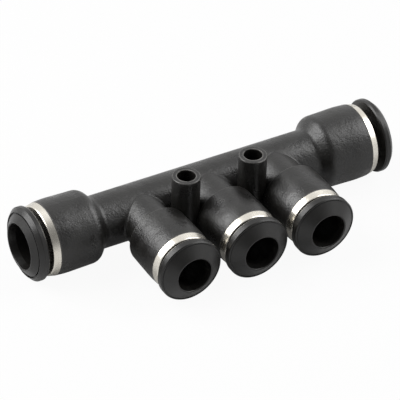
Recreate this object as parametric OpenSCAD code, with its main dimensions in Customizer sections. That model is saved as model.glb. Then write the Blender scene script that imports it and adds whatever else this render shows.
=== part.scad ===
// Push-in air manifold: a straight run with a tube port at each end, three smaller
// branch ports along one side and two screw bosses that stand between the branches.
// All lengths are in millimetres. X lies along the run, the branches point along -Y and
// the screw holes stand along Z. The origin lies midway between the two screw holes,
// in the plane of the boss feet.

/* [Run ports] */
// Outside diameter of the tube that the run ports take
run_tube_d = 8; // [7:0.1:9]
// Distance from the middle of the manifold to the mouth of each run port
run_mouth = 33.9; // [33:0.1:42]
// Length of the guide ring inside the run mouth
run_spigot_l = 4.85; // [4:0.05:6]
// Length of the seal in a run port
run_seal_l = 2.4; // [1.8:0.1:3]
// Length of the socket that guides the tube end in a run port
run_socket_l = 3.7; // [2:0.1:5]
// Width of the collar flange outside the tube in a run port
run_flange_w = 3.25; // [2.6:0.05:3.8]
// Thickness of the collar rim in a run port
run_rim_t = 1.8; // [1.5:0.05:2.2]
// Chamfer on the front edge of the collar rim in a run port
run_rim_chamfer = 0.75; // [0.1:0.05:0.9]
// Bevel on the back edge of the collar rim in a run port, on the radius
run_rim_bevel = 0.2; // [0.1:0.05:0.5]
// Width and depth of the fine groove inside the rim of a run port
run_groove_w = 0.3; // [0.1:0.02:0.4]
// Height of the coned collar face above its rim in a run port
run_face_h = 0.9; // [0.8:0.05:2]
// Radial width of the lead-in at the collar mouth of a run port
run_lead_in = 0.3; // [0.2:0.05:0.8]
// Depth of that lead-in
run_lead_l = 1.5; // [0.4:0.1:2]
// Push travel between guide ring and collar flange of a run port, at the middle position
run_gap = 0.9; // [0.7:0.05:1.2]
// How far the left run collar stands out from its middle position
run_left_shift = 0.1; // [-0.4:0.05:0.6]
// How far the right run collar stands out from its middle position
run_right_shift = 0.55; // [-0.4:0.05:0.6]

/* [Branch ports] */
// Outside diameter of the tube that the branch ports take
branch_tube_d = 6; // [5:0.1:6.6]
// Distance from the run axis to the mouth of each branch port
branch_mouth = 17.65; // [16.6:0.05:24]
// Distance between neighbouring branch ports
branch_pitch = 14.4; // [13.9:0.1:18]
// Length of the guide ring inside the branch mouth
branch_spigot_l = 3.9; // [3.6:0.05:4.9]
// Length of the seal in a branch port
branch_seal_l = 2.1; // [1.6:0.1:2.8]
// Length of the socket that guides the tube end in a branch port
branch_socket_l = 3.4; // [2:0.1:4.4]
// Width of the collar flange outside the tube in a branch port
branch_flange_w = 3.4; // [2.6:0.05:3.8]
// Thickness of the collar rim in a branch port
branch_rim_t = 1.65; // [1.2:0.05:2]
// Chamfer on the front edge of the collar rim in a branch port
branch_rim_chamfer = 0.2; // [0.15:0.05:0.6]
// Bevel on the back edge of the collar rim in a branch port, on the radius
branch_rim_bevel = 0.25; // [0.1:0.05:0.5]
// Width and depth of the fine groove inside the rim of a branch port
branch_groove_w = 0.12; // [0.1:0.02:0.4]
// Height of the coned collar face above its rim in a branch port
branch_face_h = 1.45; // [0.9:0.05:2]
// Radial width of the lead-in at the collar mouth of a branch port
branch_lead_in = 0.3; // [0.2:0.05:0.8]
// Depth of that lead-in
branch_lead_l = 1.4; // [0.4:0.1:2]
// Push travel between guide ring and collar flange of a branch port
branch_gap = 0.65; // [0.5:0.05:1.2]

/* [Body moulding] */
// Wall of the moulding around a guide ring, before it draws in
body_wall = 1.03; // [0.8:0.01:1.6]
// Angle by which the port bodies widen towards their mouths
draft_angle = 1.4; // [0:0.1:2]
// Length over which a port body draws in again at its mouth
crown_l = 2.2; // [2:0.1:3]
// How far it draws in there, on the radius
crown_h = 0.2; // [0.1:0.05:0.3]
// Soft rounding where it begins to draw in
crown_round = 20; // [10:1:22]
// Rounding of the outer edge at each mouth
mouth_round = 0.2; // [0.1:0.05:0.4]
// Wall around the tube socket in the straight run
run_wall = 1.08; // [0.8:0.02:1.6]
// Wall around the tube socket in a branch neck
neck_wall = 1.7; // [1:0.05:2]
// Diameter of the air passage along the run
run_bore_d = 6; // [4:0.1:6.4]
// Diameter of the air passage into each branch
branch_bore_d = 4.5; // [3:0.1:4.8]
// Wall between a branch shoulder and the seal behind it
shoulder_floor = 1.1; // [0.8:0.05:1.6]
// Distance from the seal of a run port back to the foot of its shoulder
shoulder_back = 1.67; // [1.4:0.01:2.2]
// Slope of the run shoulder, measured from the run axis
shoulder_slope = 47; // [40:1:60]
// Rounding of the crest of the run shoulder
crest_round = 2; // [0.5:0.1:2.4]
// Rounding in the foot of the run shoulder
foot_round = 1.5; // [0.4:0.1:2]
// Rounding of the crisp edge on the branch shoulder
edge_round = 0.2; // [0.1:0.05:0.5]

/* [Screw bosses] */
// Distance from the run axis to the line of the screw holes
boss_back = 6.4; // [6.2:0.1:7]
// Height of the boss tops above the port axes
boss_top = 9.7; // [7:0.1:12]
// Outside diameter of a boss
boss_d = 5.4; // [5:0.1:6.4]
// Diameter of the screw hole in a boss
hole_d = 3.6; // [3:0.1:3.8]
// Rounding of the boss rim
boss_round = 0.2; // [0.1:0.05:0.5]

/* [Collars and rings] */
// Wall of the collar sleeve
sleeve_wall = 0.7; // [0.6:0.05:0.9]
// Height of the bead that keeps the collar in its ring
bead_h = 0.4; // [0.25:0.05:0.5]
// Length of that bead
bead_l = 0.7; // [0.5:0.05:1]
// Pull travel of a collar from its middle position until its bead meets the ring
pull_play = 0.7; // [0.65:0.05:0.9]
// Wall of the guide ring around the bead
ring_wall = 0.9; // [0.7:0.05:1.2]
// Length of the bright ring in front of the mouth
ring_l = 1.4; // [1:0.05:1.8]
// How far the bright ring lies below the edge of the mouth
ring_inset = 0.03; // [0.01:0.01:0.2]
// Taper of the bright ring over its length, on the radius
ring_taper = 0.33; // [0:0.01:0.5]
// Rounding of the front edge of the bright ring
ring_round = 0.3; // [0.1:0.05:0.4]
// Sheet thickness of a lock claw
claw_t = 0.3; // [0.2:0.05:0.4]
// Lean of the claw teeth towards the inside
claw_lean = 35; // [25:1:40]
// How far the claw teeth bite into the tube, on the radius
claw_bite = 0.08; // [0.02:0.01:0.15]
// Length of a backup ring
backup_l = 1.4; // [1.2:0.05:1.8]

/* [Clearances] */
// Clearance of the tube in its collar and backup ring, on the radius
tube_clear = 0.2; // [0.05:0.01:0.25]
// Clearance of the tube in its socket, on the radius
socket_clear = 0.1; // [0.05:0.01:0.2]
// Sliding clearance of a collar in its ring, on the radius
slide_clear = 0.1; // [0.05:0.01:0.15]
// Clearance of the ring and of the inner rings in the moulding, on the radius
press_clear = 0.02; // [0.01:0.01:0.05]
// Clearance left at each end of the collar travel
stop_clear = 0.1; // [0.05:0.01:0.15]

/* [Hidden] */
$fn = 96;
ARC_STEPS = 6;
CLAW_TEETH = 12;
OVERCUT = 1;

PORTS = ["run_left", "run_right", "branch_left", "branch_middle", "branch_right"];
PIECES = ["release_collar", "guide_ring", "lock_claw", "backup_ring", "tube_seal"];

body_colour = "#2a2a2b";
collar_colour = "#1f1f20";
nickel_colour = "#d2ccc0";
steel_colour = "#b4b6b8";
backup_colour = "#e6e3da";
seal_colour = "#161616";

// Sizes of a port, which is either a run port or a branch port
function is_run(port) = port == "run_left" || port == "run_right";
function tube_r(run) = (run ? run_tube_d : branch_tube_d) / 2;
function mouth(run) = run ? run_mouth : branch_mouth;
function spigot_l(run) = run ? run_spigot_l : branch_spigot_l;
function seal_l(run) = run ? run_seal_l : branch_seal_l;
function socket_l(run) = run ? run_socket_l : branch_socket_l;
function flange_w(run) = run ? run_flange_w : branch_flange_w;
function rim_t(run) = run ? run_rim_t : branch_rim_t;
function face_h(run) = run ? run_face_h : branch_face_h;
function rim_chamfer(run) = run ? run_rim_chamfer : branch_rim_chamfer;
function rim_bevel(run) = run ? run_rim_bevel : branch_rim_bevel;
function groove_w(run) = run ? run_groove_w : branch_groove_w;
function lead_in(run) = run ? run_lead_in : branch_lead_in;
function lead_l(run) = run ? run_lead_l : branch_lead_l;
function gap(run) = run ? run_gap : branch_gap;
function air_d(run) = run ? run_bore_d : branch_bore_d;
function rest_shift(port) =
    port == "run_left" ? run_left_shift :
    port == "run_right" ? run_right_shift : 0;

// Radii of a port, from the tube outwards
function bore_r(run) = tube_r(run) + tube_clear;
function sleeve_r(run) = bore_r(run) + sleeve_wall;
function guide_r(run) = sleeve_r(run) + slide_clear;
function bead_r(run) = sleeve_r(run) + bead_h;
function pocket_r(run) = bead_r(run) + slide_clear;
function spigot_r(run) = pocket_r(run) + ring_wall;
function seat_r(run) = spigot_r(run) + press_clear;
function body_r(run) = seat_r(run) + body_wall;
function mouth_r(run) = body_r(run) - crown_h;
function seal_seat_r(run) = seat_r(run) - seal_ledge;
function socket_r(run) = tube_r(run) + socket_clear;
function flange_r(run) = tube_r(run) + flange_w(run);

// Places along a port axis, from the mouth inwards
function claw_face(run) = mouth(run) - spigot_l(run);
function backup_face(run) = claw_face(run) - claw_t;
function seal_face(run) = backup_face(run) - backup_l;
function seal_floor(run) = seal_face(run) - seal_l(run);
function tube_stop(run) = seal_floor(run) - socket_l(run);
function drafted_r(run, along) = body_r(run) - (mouth(run) - along) * tan(draft_angle);

// Step from the seat of the rings down to the narrower seat of the seal
seal_ledge = 0.35;
// Radii of the straight run and of the branch necks
run_r = socket_r(true) + run_wall;
neck_r = socket_r(false) + neck_wall;
// Height of the port axes above the boss feet, so that the end bodies lie level with them
axis_h = body_r(true);

// Corner b of an outline, rounded to a radius where one is given as its third number
function unit(v) = v / norm(v);
function corner(a, b, c) =
    len(b) < 3
    ? [[b[0], b[1]]]
    : let (
        tip = [b[0], b[1]],
        back = unit([a[0], a[1]] - tip),
        ahead = unit([c[0], c[1]] - tip),
        half = acos(back * ahead) / 2,
        centre = tip + unit(back + ahead) * b[2] / sin(half),
        start = tip + back * b[2] / tan(half) - centre,
        turn = cross(back, ahead) > 0 ? -1 : 1,
        from = atan2(start[1], start[0]),
        sweep = turn * (180 - 2 * half)
    )
    [for (i = [0:ARC_STEPS])
        centre + b[2] * [cos(from + sweep * i / ARC_STEPS), sin(from + sweep * i / ARC_STEPS)]];
function rounded(points) =
    let (n = len(points))
    [for (i = [0:n - 1]) each corner(points[(i + n - 1) % n], points[i], points[(i + 1) % n])];

// Turns an outline of [radius, distance along the axis] points about Z
module turned(points) {
    rotate_extrude()
        polygon(rounded(points));
}

// Lays the axis of a piece made about Z along its port
module at_port(port) {
    if (port == "run_left") rotate([0, -90, 0]) children();
    if (port == "run_right") rotate([0, 90, 0]) children();
    if (port == "branch_left") translate([-branch_pitch, 0, 0]) rotate([90, 0, 0]) children();
    if (port == "branch_middle") rotate([90, 0, 0]) children();
    if (port == "branch_right") translate([branch_pitch, 0, 0]) rotate([90, 0, 0]) children();
}

// Moves the crossing of the port axes to its place above the boss feet
module in_frame() {
    translate([0, boss_back, axis_h])
        children();
}

// End body with its coned shoulder and a half of the straight run
module run_half() {
    run = true;
    foot = seal_floor(run) - shoulder_back;
    crest = foot + (drafted_r(run, foot) - run_r) / tan(shoulder_slope);
    turned([
        [0, 0],
        [run_r, 0],
        [run_r, foot, foot_round],
        [drafted_r(run, crest), crest, crest_round],
        [drafted_r(run, mouth(run) - crown_l), mouth(run) - crown_l, crown_round],
        [mouth_r(run), mouth(run), mouth_round],
        [0, mouth(run)]
    ]);
}

// Neck and branch body with the crisp shoulder between them
module branch_half() {
    run = false;
    shoulder = seal_floor(run) - shoulder_floor;
    turned([
        [0, 0],
        [neck_r, 0],
        [neck_r, shoulder],
        [drafted_r(run, shoulder), shoulder, edge_round],
        [drafted_r(run, mouth(run) - crown_l), mouth(run) - crown_l, crown_round],
        [mouth_r(run), mouth(run), mouth_round],
        [0, mouth(run)]
    ]);
}

// Stepped bore for the rings, the seal, the tube end and the air
module port_bore(run) {
    cylinder(d = air_d(run), h = mouth(run));
    translate([0, 0, tube_stop(run)])
        cylinder(r = socket_r(run), h = mouth(run) - tube_stop(run));
    translate([0, 0, seal_floor(run)])
        cylinder(r = seal_seat_r(run), h = mouth(run) - seal_floor(run));
    translate([0, 0, seal_face(run)])
        cylinder(r = seat_r(run), h = mouth(run) - seal_face(run) + OVERCUT);
}

module boss() {
    translate([0, 0, -axis_h])
        turned([
            [0, 0],
            [boss_d / 2, 0],
            [boss_d / 2, axis_h + boss_top, boss_round],
            [0, axis_h + boss_top]
        ]);
}

module at_bosses() {
    for (side = [-1, 1])
        translate([side * branch_pitch / 2, -boss_back, 0])
            children();
}

module manifold_body() {
    color(body_colour)
        difference() {
            union() {
                for (port = PORTS)
                    at_port(port)
                        if (is_run(port)) run_half();
                        else branch_half();
                at_bosses() boss();
            }
            for (port = PORTS)
                at_port(port)
                    port_bore(is_run(port));
            at_bosses()
                translate([0, 0, -axis_h - OVERCUT])
                    cylinder(d = hole_d, h = axis_h + boss_top + 2 * OVERCUT);
        }
}

// Flanged sleeve: nose and bead inside the ring, flange with a coned face outside.
// Pushed home, the nose bends the claw teeth back by claw_press.
claw_press = 0.12;
nose_bevel = 0.25;
bead_bevel = 0.15;
bevel_slope = 36;
rim_round = 0.2;
ridge_w = 0.12;
ridge_round = 0.08;
lip_w = 0.25;
lip_round = 0.18;
module release_collar(run) {
    touch_fall = (pocket_r(run) - sleeve_r(run) + nose_bevel) * tan(claw_lean);
    nose = claw_face(run) + gap(run) - stop_clear - touch_fall - claw_press;
    bead = claw_face(run) + gap(run) + stop_clear / 2;
    back = mouth(run) + ring_l + gap(run);
    rim = back + rim_t(run);
    face = rim + face_h(run);
    ridge_r = flange_r(run) - rim_chamfer(run);
    groove_r = ridge_r - ridge_w - groove_w(run);
    lip_r = bore_r(run) + lead_in(run);
    color(collar_colour)
        turned([
            [bore_r(run), nose],
            [sleeve_r(run) - nose_bevel, nose],
            [sleeve_r(run), nose + nose_bevel],
            [sleeve_r(run), bead],
            [bead_r(run) - bead_bevel, bead],
            [bead_r(run), bead + bead_bevel],
            [bead_r(run), bead + bead_l],
            [sleeve_r(run), bead + bead_l],
            [sleeve_r(run), back],
            [flange_r(run) - rim_bevel(run), back],
            [flange_r(run), back + rim_bevel(run) / tan(bevel_slope)],
            [flange_r(run), rim - rim_chamfer(run), rim_round],
            [ridge_r, rim, ridge_round],
            [ridge_r - ridge_w, rim],
            [ridge_r - ridge_w, rim - groove_w(run)],
            [groove_r, rim - groove_w(run)],
            [groove_r, rim],
            [lip_r + lip_w, face, lip_round],
            [lip_r, face, lip_round],
            [bore_r(run), face - lead_l(run)]
        ]);
}

// Bright ring with the spigot that holds claw and collar in the mouth
module guide_ring(run) {
    pocket = claw_face(run) + gap(run) + bead_l + pull_play + stop_clear;
    front = mouth(run) + ring_l;
    band_r = mouth_r(run) - ring_inset;
    color(nickel_colour)
        turned([
            [pocket_r(run), claw_face(run)],
            [spigot_r(run), claw_face(run)],
            [spigot_r(run), mouth(run)],
            [band_r, mouth(run)],
            [band_r - ring_taper, front, ring_round],
            [guide_r(run), front],
            [guide_r(run), pocket],
            [pocket_r(run), pocket]
        ]);
}

// Sprung steel ring: a flat rim held behind the guide ring and slit teeth that lean inwards
slit_w = 0.4;
module lock_claw(run) {
    tip_r = tube_r(run) - claw_bite;
    fall = (pocket_r(run) - tip_r) * tan(claw_lean);
    color(steel_colour)
        difference() {
            turned([
                [pocket_r(run), backup_face(run)],
                [spigot_r(run), backup_face(run)],
                [spigot_r(run), claw_face(run)],
                [pocket_r(run), claw_face(run)],
                [tip_r, claw_face(run) - fall],
                [tip_r, backup_face(run) - fall]
            ]);
            for (tooth = [0:CLAW_TEETH - 1])
                rotate([0, 0, tooth * 360 / CLAW_TEETH])
                    translate([0, -slit_w / 2, backup_face(run) - fall - OVERCUT])
                        cube([pocket_r(run), slit_w, fall + claw_t + 2 * OVERCUT]);
        }
}

// Stiff ring that carries the claw and guides the tube into the seal
cone_clear = 0.3;
module backup_ring(run) {
    cone_r = pocket_r(run) + cone_clear;
    fall = (cone_r - bore_r(run)) * tan(claw_lean);
    color(backup_colour)
        turned([
            [bore_r(run), seal_face(run)],
            [spigot_r(run), seal_face(run)],
            [spigot_r(run), backup_face(run)],
            [cone_r, backup_face(run)],
            [bore_r(run), backup_face(run) - min(fall, backup_l - claw_t)]
        ]);
}

// Lip seal that closes on the tube, with its groove towards the air
seal_grip = 0.15;
seal_heel = 0.55;
seal_lip = 0.6;
module tube_seal(run) {
    outer = seal_seat_r(run) - press_clear;
    inner = tube_r(run) - seal_grip;
    top = seal_face(run);
    floor = seal_floor(run);
    middle = (outer + inner) / 2;
    color(seal_colour)
        turned([
            [outer, floor],
            [outer, top],
            [inner + seal_heel, top],
            [inner, top - seal_heel],
            [inner, floor + seal_lip],
            [inner + seal_lip / 2, floor],
            [middle, top - 2 * seal_heel],
            [outer - seal_lip / 2, floor]
        ]);
}

in_frame() manifold_body();
for (port = PORTS) {
    run = is_run(port);
    in_frame() at_port(port) translate([0, 0, rest_shift(port)]) release_collar(run);
    in_frame() at_port(port) guide_ring(run);
    in_frame() at_port(port) lock_claw(run);
    in_frame() at_port(port) backup_ring(run);
    in_frame() at_port(port) tube_seal(run);
}
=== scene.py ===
"""Looks of a push-in air manifold: black mouldings, satin collars and nickel rings in a white studio."""

import math

import bpy
from mathutils import Matrix, Vector


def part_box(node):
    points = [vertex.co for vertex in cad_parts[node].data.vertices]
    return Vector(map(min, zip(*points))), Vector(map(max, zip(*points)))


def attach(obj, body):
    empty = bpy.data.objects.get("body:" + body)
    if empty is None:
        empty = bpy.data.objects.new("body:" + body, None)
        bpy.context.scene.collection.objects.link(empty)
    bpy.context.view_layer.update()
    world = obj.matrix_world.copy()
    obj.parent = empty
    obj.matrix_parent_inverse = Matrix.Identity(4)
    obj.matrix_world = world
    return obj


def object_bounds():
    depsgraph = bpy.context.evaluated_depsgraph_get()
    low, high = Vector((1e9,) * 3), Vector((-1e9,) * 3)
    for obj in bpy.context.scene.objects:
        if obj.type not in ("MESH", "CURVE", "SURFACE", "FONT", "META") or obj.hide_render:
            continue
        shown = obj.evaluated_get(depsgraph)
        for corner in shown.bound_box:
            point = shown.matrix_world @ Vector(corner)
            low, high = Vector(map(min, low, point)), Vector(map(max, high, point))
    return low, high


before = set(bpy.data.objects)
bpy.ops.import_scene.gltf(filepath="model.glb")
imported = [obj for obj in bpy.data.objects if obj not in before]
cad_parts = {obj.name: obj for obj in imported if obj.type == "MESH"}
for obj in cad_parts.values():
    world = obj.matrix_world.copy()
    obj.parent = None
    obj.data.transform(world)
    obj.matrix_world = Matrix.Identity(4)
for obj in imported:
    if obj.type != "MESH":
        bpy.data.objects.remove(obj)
cad_low, cad_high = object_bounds()

MM = 0.001


# Places

def middle(node):
    """Centre of a CAD node's box."""
    low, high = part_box(node)
    return (low + high) / 2


def direction(azimuth, elevation):
    """Unit vector towards a place in the room, in degrees; azimuth 0 is in front, 90 on the right."""
    turn, rise = math.radians(azimuth), math.radians(elevation)
    return Vector((math.sin(turn) * math.cos(rise), -math.cos(turn) * math.cos(rise), math.sin(rise)))


# Where the axis of the middle branch meets the axis of the run
run_ring = middle("guide_ring_run_left")
crossing = Vector((middle("guide_ring_branch_middle").x, run_ring.y, run_ring.z))


# Materials

# Sockets of a colour mix, whose names repeat: its factor, its two colours and its result
MIX_FACTOR, MIX_A, MIX_B, MIX_RESULT = 0, 6, 7, 2


def linear(hex_colour):
    """sRGB hex colour as linear red, green, blue and alpha."""
    channels = [int(hex_colour[i:i + 2], 16) / 255 for i in (1, 3, 5)]
    return [c / 12.92 if c <= 0.04045 else ((c + 0.055) / 1.055) ** 2.4 for c in channels] + [1]


def per_metre(size_mm):
    """Texture scale at which a pattern repeats about once in the given millimetres."""
    return 1 / (size_mm * MM)


def add(tree, kind, inputs=None, **settings):
    """Adds a node: settings are its properties, inputs hold values or the sockets to link."""
    node = tree.nodes.new(kind)
    for name, value in settings.items():
        setattr(node, name, value)
    for name, value in (inputs or {}).items():
        if isinstance(value, bpy.types.NodeSocket):
            tree.links.new(value, node.inputs[name])
        else:
            node.inputs[name].default_value = value
    return node


def new_material(name):
    """A material with an empty node tree."""
    material = bpy.data.materials.new(name)
    material.use_nodes = True
    material.node_tree.nodes.clear()
    return material, material.node_tree


def edge_highlight_mask(tree, place):
    """Mask of the outward edges, broken up into patches, where a painted highlight goes."""
    # Rays sent inwards meet the other side soon only where the surface turns over an edge
    inside = add(tree, "ShaderNodeAmbientOcclusion", {"Distance": 0.3 * MM},
                 inside=True, only_local=True, samples=8)
    patch = add(tree, "ShaderNodeTexNoise", {
        "Vector": place, "Scale": per_metre(1.5), "Detail": 3, "Roughness": 0.7})
    sharp = add(tree, "ShaderNodeMapRange", {
        "Value": inside.outputs["AO"], "From Min": 0.92, "From Max": 0.68})
    spots = add(tree, "ShaderNodeMapRange", {
        "Value": patch.outputs["Fac"], "From Min": 0.3, "From Max": 0.55})
    return add(tree, "ShaderNodeMath", {0: sharp.outputs["Result"], 1: spots.outputs["Result"]},
               operation="MULTIPLY").outputs[0]


def moulded_pbt(name, painted_edge_highlight):
    """Glass-filled PBT from a spark-eroded mould: a dull dark grey with a broad, patchy and grainy sheen.

    With the edge option set, a painted highlight makes its outward edges paler in places.
    """
    material, tree = new_material(name)
    place = add(tree, "ShaderNodeTexCoord").outputs["Object"]
    # Erosion pits are about 0.05 mm wide; they are drawn at 0.38 mm so that they show
    grain = add(tree, "ShaderNodeTexNoise", {
        "Vector": place, "Scale": per_metre(0.38), "Detail": 3, "Roughness": 0.6})
    # Sink marks and flow marks of the melt
    cloud = add(tree, "ShaderNodeTexNoise", {
        "Vector": place, "Scale": per_metre(3.5), "Detail": 2, "Roughness": 0.5})
    pale = add(tree, "ShaderNodeMapRange", {
        "Value": cloud.outputs["Fac"], "From Min": 0.35, "From Max": 0.65})
    colour = add(tree, "ShaderNodeMix", {
        MIX_FACTOR: pale.outputs["Result"], MIX_A: linear("#131211"), MIX_B: linear("#181715")},
        data_type="RGBA")
    # Painted highlight: the outward edges are mixed towards a pale grey, in patches
    if painted_edge_highlight:
        colour = add(tree, "ShaderNodeMix", {
            MIX_FACTOR: edge_highlight_mask(tree, place), MIX_A: colour.outputs[MIX_RESULT],
            MIX_B: linear("#757370")}, data_type="RGBA")
    patchy = add(tree, "ShaderNodeMapRange", {
        "Value": cloud.outputs["Fac"], "From Min": 0.3, "From Max": 0.7, "To Min": -0.08, "To Max": 0.08})
    dull = add(tree, "ShaderNodeMapRange", {"Value": grain.outputs["Fac"], "To Min": 0.24, "To Max": 0.44})
    roughness = add(tree, "ShaderNodeMath", {0: dull.outputs["Result"], 1: patchy.outputs["Result"]},
                    operation="ADD")
    waves = add(tree, "ShaderNodeBump", {
        "Height": cloud.outputs["Fac"], "Strength": 0.7, "Distance": 0.3 * MM})
    relief = add(tree, "ShaderNodeBump", {
        "Height": grain.outputs["Fac"], "Strength": 0.8, "Distance": 0.09 * MM,
        "Normal": waves.outputs["Normal"]})
    surface = add(tree, "ShaderNodeBsdfPrincipled", {
        "Base Color": colour.outputs[MIX_RESULT], "Roughness": roughness.outputs[0],
        "IOR": 1.53, "Normal": relief.outputs["Normal"]})
    add(tree, "ShaderNodeOutputMaterial", {"Surface": surface.outputs["BSDF"]})
    return material


def moulded_pom():
    """POM from a polished mould: a deeper black with a tighter satin sheen and faint scuffs."""
    material, tree = new_material("moulded_black_pom")
    place = add(tree, "ShaderNodeTexCoord").outputs["Object"]
    haze = add(tree, "ShaderNodeTexNoise", {
        "Vector": place, "Scale": per_metre(1.2), "Detail": 4, "Roughness": 0.6})
    pale = add(tree, "ShaderNodeMapRange", {"Value": haze.outputs["Fac"], "From Min": 0.3, "From Max": 0.7})
    colour = add(tree, "ShaderNodeMix", {
        MIX_FACTOR: pale.outputs["Result"], MIX_A: linear("#11100f"), MIX_B: linear("#161513")},
        data_type="RGBA")
    satin = add(tree, "ShaderNodeMapRange", {"Value": haze.outputs["Fac"], "To Min": 0.27, "To Max": 0.37})
    # Handling scuffs are finer than 0.1 mm; they are drawn at 0.25 mm so that they show
    scuffs = add(tree, "ShaderNodeTexNoise", {
        "Vector": place, "Scale": per_metre(0.25), "Detail": 3, "Roughness": 0.7})
    relief = add(tree, "ShaderNodeBump", {
        "Height": scuffs.outputs["Fac"], "Strength": 0.4, "Distance": 0.05 * MM})
    surface = add(tree, "ShaderNodeBsdfPrincipled", {
        "Base Color": colour.outputs[MIX_RESULT], "Roughness": satin.outputs["Result"],
        "IOR": 1.48, "Normal": relief.outputs["Normal"]})
    add(tree, "ShaderNodeOutputMaterial", {"Surface": surface.outputs["BSDF"]})
    return material


def nickel_plate():
    """Bright nickel on turned brass: a warm silver whose reflections the turning marks soften."""
    material, tree = new_material("bright_nickel_plate")
    place = add(tree, "ShaderNodeTexCoord").outputs["Object"]
    # Turning marks are about 0.05 mm apart; they are drawn as a mottle of 0.25 mm so that they show
    marks = add(tree, "ShaderNodeTexNoise", {
        "Vector": place, "Scale": per_metre(0.25), "Detail": 2, "Roughness": 0.5})
    tint = add(tree, "ShaderNodeTexNoise", {
        "Vector": place, "Scale": per_metre(3), "Detail": 2, "Roughness": 0.5})
    pale = add(tree, "ShaderNodeMapRange", {"Value": tint.outputs["Fac"], "From Min": 0.3, "From Max": 0.7})
    colour = add(tree, "ShaderNodeMix", {
        MIX_FACTOR: pale.outputs["Result"], MIX_A: linear("#d6d1c6"), MIX_B: linear("#e2ded5")},
        data_type="RGBA")
    gloss = add(tree, "ShaderNodeMapRange", {"Value": marks.outputs["Fac"], "To Min": 0.2, "To Max": 0.32})
    surface = add(tree, "ShaderNodeBsdfPrincipled", {
        "Base Color": colour.outputs[MIX_RESULT], "Metallic": 1, "Roughness": gloss.outputs["Result"]})
    add(tree, "ShaderNodeOutputMaterial", {"Surface": surface.outputs["BSDF"]})
    return material


def spring_steel():
    """Rolled spring steel strip: a cool grey metal with a dull bloom."""
    material, tree = new_material("rolled_spring_steel")
    place = add(tree, "ShaderNodeTexCoord").outputs["Object"]
    bloom = add(tree, "ShaderNodeTexNoise", {
        "Vector": place, "Scale": per_metre(0.4), "Detail": 3, "Roughness": 0.6})
    gloss = add(tree, "ShaderNodeMapRange", {"Value": bloom.outputs["Fac"], "To Min": 0.25, "To Max": 0.45})
    surface = add(tree, "ShaderNodeBsdfPrincipled", {
        "Base Color": linear("#b4b6b8"), "Metallic": 1, "Roughness": gloss.outputs["Result"]})
    add(tree, "ShaderNodeOutputMaterial", {"Surface": surface.outputs["BSDF"]})
    return material


def pale_pom():
    """Natural POM: a milky white that is a little waxy."""
    material, tree = new_material("natural_pom")
    place = add(tree, "ShaderNodeTexCoord").outputs["Object"]
    milk = add(tree, "ShaderNodeTexNoise", {
        "Vector": place, "Scale": per_metre(1), "Detail": 2, "Roughness": 0.5})
    wax = add(tree, "ShaderNodeMapRange", {"Value": milk.outputs["Fac"], "To Min": 0.35, "To Max": 0.5})
    surface = add(tree, "ShaderNodeBsdfPrincipled", {
        "Base Color": linear("#e6e3da"), "Roughness": wax.outputs["Result"], "IOR": 1.48})
    add(tree, "ShaderNodeOutputMaterial", {"Surface": surface.outputs["BSDF"]})
    return material


def nitrile_rubber():
    """Nitrile rubber from a mould: black with a soft, greasy sheen."""
    material, tree = new_material("nitrile_rubber")
    place = add(tree, "ShaderNodeTexCoord").outputs["Object"]
    bloom = add(tree, "ShaderNodeTexNoise", {
        "Vector": place, "Scale": per_metre(0.6), "Detail": 3, "Roughness": 0.6})
    grease = add(tree, "ShaderNodeMapRange", {"Value": bloom.outputs["Fac"], "To Min": 0.4, "To Max": 0.65})
    surface = add(tree, "ShaderNodeBsdfPrincipled", {
        "Base Color": linear("#161616"), "Roughness": grease.outputs["Result"], "IOR": 1.52})
    add(tree, "ShaderNodeOutputMaterial", {"Surface": surface.outputs["BSDF"]})
    return material


finishes = {
    # The body's outward edges get a painted highlight
    "manifold_body": moulded_pbt("moulded_black_pbt", painted_edge_highlight=True),
    "release_collar": moulded_pom(),
    "guide_ring": nickel_plate(),
    "lock_claw": spring_steel(),
    "backup_ring": pale_pom(),
    "tube_seal": nitrile_rubber(),
}

# Edges sharper than these stay crisp: on the mouldings the shallow steps too,
# and on the other pieces not the fine roundings
CRISP_MOULDING_EDGE = math.radians(18)
CRISP_TURNED_EDGE = math.radians(32)
MOULDINGS = ("manifold_body", "release_collar")

for name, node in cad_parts.items():
    finish = next(finishes[piece] for piece in finishes if name.startswith(piece))
    crisp_edge = CRISP_MOULDING_EDGE if name.startswith(MOULDINGS) else CRISP_TURNED_EDGE
    node.data.materials.clear()
    node.data.materials.append(finish)
    node.data.shade_smooth()
    node.data.set_sharp_from_angle(angle=crisp_edge)


# Soft corner between each branch neck and the run

BRANCHES = ["branch_left", "branch_middle", "branch_right"]

# Radii of the straight run and of the branch necks, as in the part's source, and of the corner between them
RUN_RADIUS = 5.18 * MM
NECK_RADIUS = 4.8 * MM
CORNER_RADIUS = 0.5 * MM
# How far the band's heel sits in the solid
CORNER_SINK = 0.15 * MM
CORNER_TURNS = 96
CORNER_STEPS = 8


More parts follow.
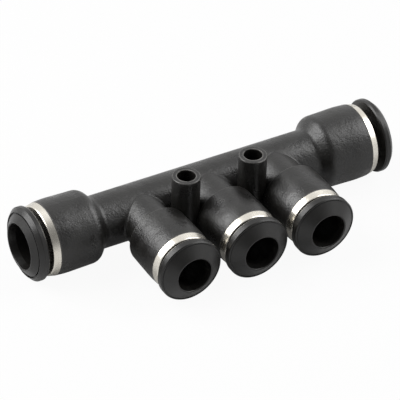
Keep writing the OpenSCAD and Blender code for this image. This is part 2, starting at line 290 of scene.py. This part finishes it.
def corner_band(port, finish):
    """Ring that fills the corner between a neck and the run, as a ball rolled around it would leave it."""
    hub = Vector((middle("guide_ring_" + port).x, crossing.y, crossing.z))
    reach_run = RUN_RADIUS + CORNER_RADIUS
    reach_neck = NECK_RADIUS + CORNER_RADIUS
    verts = []
    for turn in range(CORNER_TURNS):
        angle = math.tau * turn / CORNER_TURNS
        across, rise = reach_neck * math.cos(angle), reach_neck * math.sin(angle)
        ball = Vector((across, -math.sqrt(reach_run ** 2 - rise ** 2), rise))
        on_run = Vector((ball.x, ball.y * RUN_RADIUS / reach_run, ball.z * RUN_RADIUS / reach_run))
        on_neck = Vector((ball.x * NECK_RADIUS / reach_neck, ball.y, ball.z * NECK_RADIUS / reach_neck))
        start, end = on_run - ball, on_neck - ball
        for step in range(CORNER_STEPS + 1):
            verts.append(hub + ball + start.slerp(end, step / CORNER_STEPS) * CORNER_RADIUS)
        heel = (on_run + on_neck) / 2
        verts.append(hub + heel + (heel - ball).normalized() * CORNER_SINK)
    ring = CORNER_STEPS + 2
    faces = []
    for turn in range(CORNER_TURNS):
        near, far = turn * ring, (turn + 1) % CORNER_TURNS * ring
        for step in range(ring):
            after = (step + 1) % ring
            faces.append((near + step, far + step, far + after, near + after))
    mesh = bpy.data.meshes.new("neck_corner_" + port)
    mesh.from_pydata(verts, [], faces)
    mesh.shade_smooth()
    mesh.set_sharp_from_angle(angle=CRISP_MOULDING_EDGE)
    mesh.materials.append(finish)
    band = bpy.data.objects.new("neck_corner_" + port, mesh)
    bpy.context.scene.collection.objects.link(band)
    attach(band, "manifold")


# No corner gets the painted edge highlight, and the mask of edges would take the thin band for an edge
corner_finish = moulded_pbt("moulded_black_pbt_in_corners", painted_edge_highlight=False)
for port in BRANCHES:
    corner_band(port, corner_finish)


# Camera at the photograph's angle

# In degrees
CAMERA_AZIMUTH = -31.142
CAMERA_ELEVATION = 36.626
CAMERA_ROLL = 2.098
# From the crossing, along the camera's own axes
CAMERA_DISTANCE = 851.3 * MM
CAMERA_SIDE = -0.234 * MM
CAMERA_RISE = -2.129 * MM
# Focal length and sensor, in Blender's millimetres
CAMERA_LENS = 405
CAMERA_SENSOR = 36
# Nearest and farthest distance that it sees, in metres
CAMERA_NEAR = 0.01
CAMERA_FAR = 20


def photo_camera():
    """Camera with the photograph's view, made the scene's own."""
    lens = bpy.data.cameras.new("photo_camera")
    lens.lens = CAMERA_LENS
    lens.sensor_width = CAMERA_SENSOR
    lens.clip_start = CAMERA_NEAR
    lens.clip_end = CAMERA_FAR
    roll = math.radians(CAMERA_ROLL)
    back = direction(CAMERA_AZIMUTH, CAMERA_ELEVATION)
    level_right = direction(CAMERA_AZIMUTH + 90, 0)
    level_up = back.cross(level_right)
    right = level_right * math.cos(roll) + level_up * math.sin(roll)
    up = level_up * math.cos(roll) - level_right * math.sin(roll)
    stand = Matrix((right, up, back)).transposed().to_4x4()
    stand.translation = crossing + back * CAMERA_DISTANCE + right * CAMERA_SIDE + up * CAMERA_RISE
    camera = bpy.data.objects.new("photo_camera", lens)
    camera.matrix_world = stand
    bpy.context.scene.collection.objects.link(camera)
    bpy.context.scene.camera = camera


photo_camera()
bpy.context.scene.view_settings.view_transform = "Standard"


# Studio

WHITE = linear("#ffffff")

# In metres
FLOOR_SIZE = 6
FLOOR_GAP = 0.02 * MM

# Shares of plain white in the floor: the rest shows its shading, which the black pieces mirror almost in full
WHITE_TO_CAMERA = 0.94
WHITE_IN_REFLECTIONS = 0.1

# Plain light from all round on the part
FILL_LIGHT = 0.2

# Open front of the light tent, which lies in the dark of the room: where it is, the cosines of the angles
# from there at which the dark starts and is full, and how bright it still is
TENT_FRONT = direction(-31, 37)
TENT_FRONT_RIM = 0.5
TENT_FRONT_HEART = 0.9
TENT_FRONT_LIGHT = 0.22


def white_paper():
    """Seamless paper: white to the camera with a faint shadow, and shaded under the part in reflections."""
    material, tree = new_material("white_paper")
    path = add(tree, "ShaderNodeLightPath").outputs
    seen = add(tree, "ShaderNodeMath", {0: path["Is Camera Ray"], 1: path["Is Transmission Ray"]},
               operation="MAXIMUM")
    mirrored = add(tree, "ShaderNodeMath", {0: path["Is Glossy Ray"], 1: WHITE_IN_REFLECTIONS},
                   operation="MULTIPLY")
    share = add(tree, "ShaderNodeMath", {0: seen.outputs[0], 1: WHITE_TO_CAMERA, 2: mirrored.outputs[0]},
                operation="MULTIPLY_ADD")
    paper = add(tree, "ShaderNodeBsdfDiffuse", {"Color": linear("#dcdcdc")})
    glow = add(tree, "ShaderNodeEmission", {"Color": WHITE, "Strength": 1})
    mixed = add(tree, "ShaderNodeMixShader", {
        "Fac": share.outputs[0], 1: paper.outputs[0], 2: glow.outputs[0]})
    add(tree, "ShaderNodeOutputMaterial", {"Surface": mixed.outputs[0]})
    return material


def white_floor():
    """Floor plane under the lowest point of the part."""
    half = FLOOR_SIZE / 2
    level = cad_low.z - FLOOR_GAP
    mesh = bpy.data.meshes.new("floor")
    mesh.from_pydata([(-half, -half, level), (half, -half, level), (half, half, level), (-half, half, level)],
                     [], [(0, 1, 2, 3)])
    mesh.materials.append(white_paper())
    floor = bpy.data.objects.new("floor", mesh)
    bpy.context.scene.collection.objects.link(floor)


def white_tent():
    """World as a white light tent, dim in reflections of its open front, with a plain fill on the part."""
    world = bpy.data.worlds.new("white_tent")
    bpy.context.scene.world = world
    world.use_nodes = True
    tree = world.node_tree
    tree.nodes.clear()
    path = add(tree, "ShaderNodeLightPath").outputs
    seen = add(tree, "ShaderNodeMath", {0: path["Is Camera Ray"], 1: path["Is Transmission Ray"]},
               operation="MAXIMUM")
    toward = add(tree, "ShaderNodeTexCoord").outputs["Generated"]
    facing = add(tree, "ShaderNodeVectorMath", {0: toward, 1: TENT_FRONT}, operation="DOT_PRODUCT")
    dim = add(tree, "ShaderNodeMapRange", {
        "Value": facing.outputs["Value"], "From Min": TENT_FRONT_RIM, "From Max": TENT_FRONT_HEART,
        "To Min": 1, "To Max": TENT_FRONT_LIGHT})
    fill = add(tree, "ShaderNodeBackground", {"Color": WHITE, "Strength": FILL_LIGHT})
    white = add(tree, "ShaderNodeBackground", {"Color": WHITE, "Strength": 1})
    tent = add(tree, "ShaderNodeBackground", {"Color": WHITE, "Strength": dim.outputs["Result"]})
    plain = add(tree, "ShaderNodeMixShader", {
        "Fac": seen.outputs[0], 1: fill.outputs[0], 2: white.outputs[0]})
    mixed = add(tree, "ShaderNodeMixShader", {
        "Fac": path["Is Glossy Ray"], 1: plain.outputs[0], 2: tent.outputs[0]})
    add(tree, "ShaderNodeOutputWorld", {"Surface": mixed.outputs[0]})


def softbox(name, azimuth, elevation, distance, size, watts):
    """Square lamp that faces the part; distance and size are in metres."""
    lamp = bpy.data.lights.new(name, "AREA")
    lamp.shape = "SQUARE"
    lamp.size = size
    lamp.energy = watts
    box = bpy.data.objects.new(name, lamp)
    away = direction(azimuth, elevation)
    box.location = crossing + away * distance
    box.rotation_mode = "QUATERNION"
    box.rotation_quaternion = away.to_track_quat("Z", "Y")
    bpy.context.scene.collection.objects.link(box)


white_floor()
white_tent()
softbox("left_softbox", azimuth=-122, elevation=42, distance=0.45, size=0.36, watts=2.3)
softbox("right_softbox", azimuth=74, elevation=42, distance=0.45, size=0.33, watts=1.25)
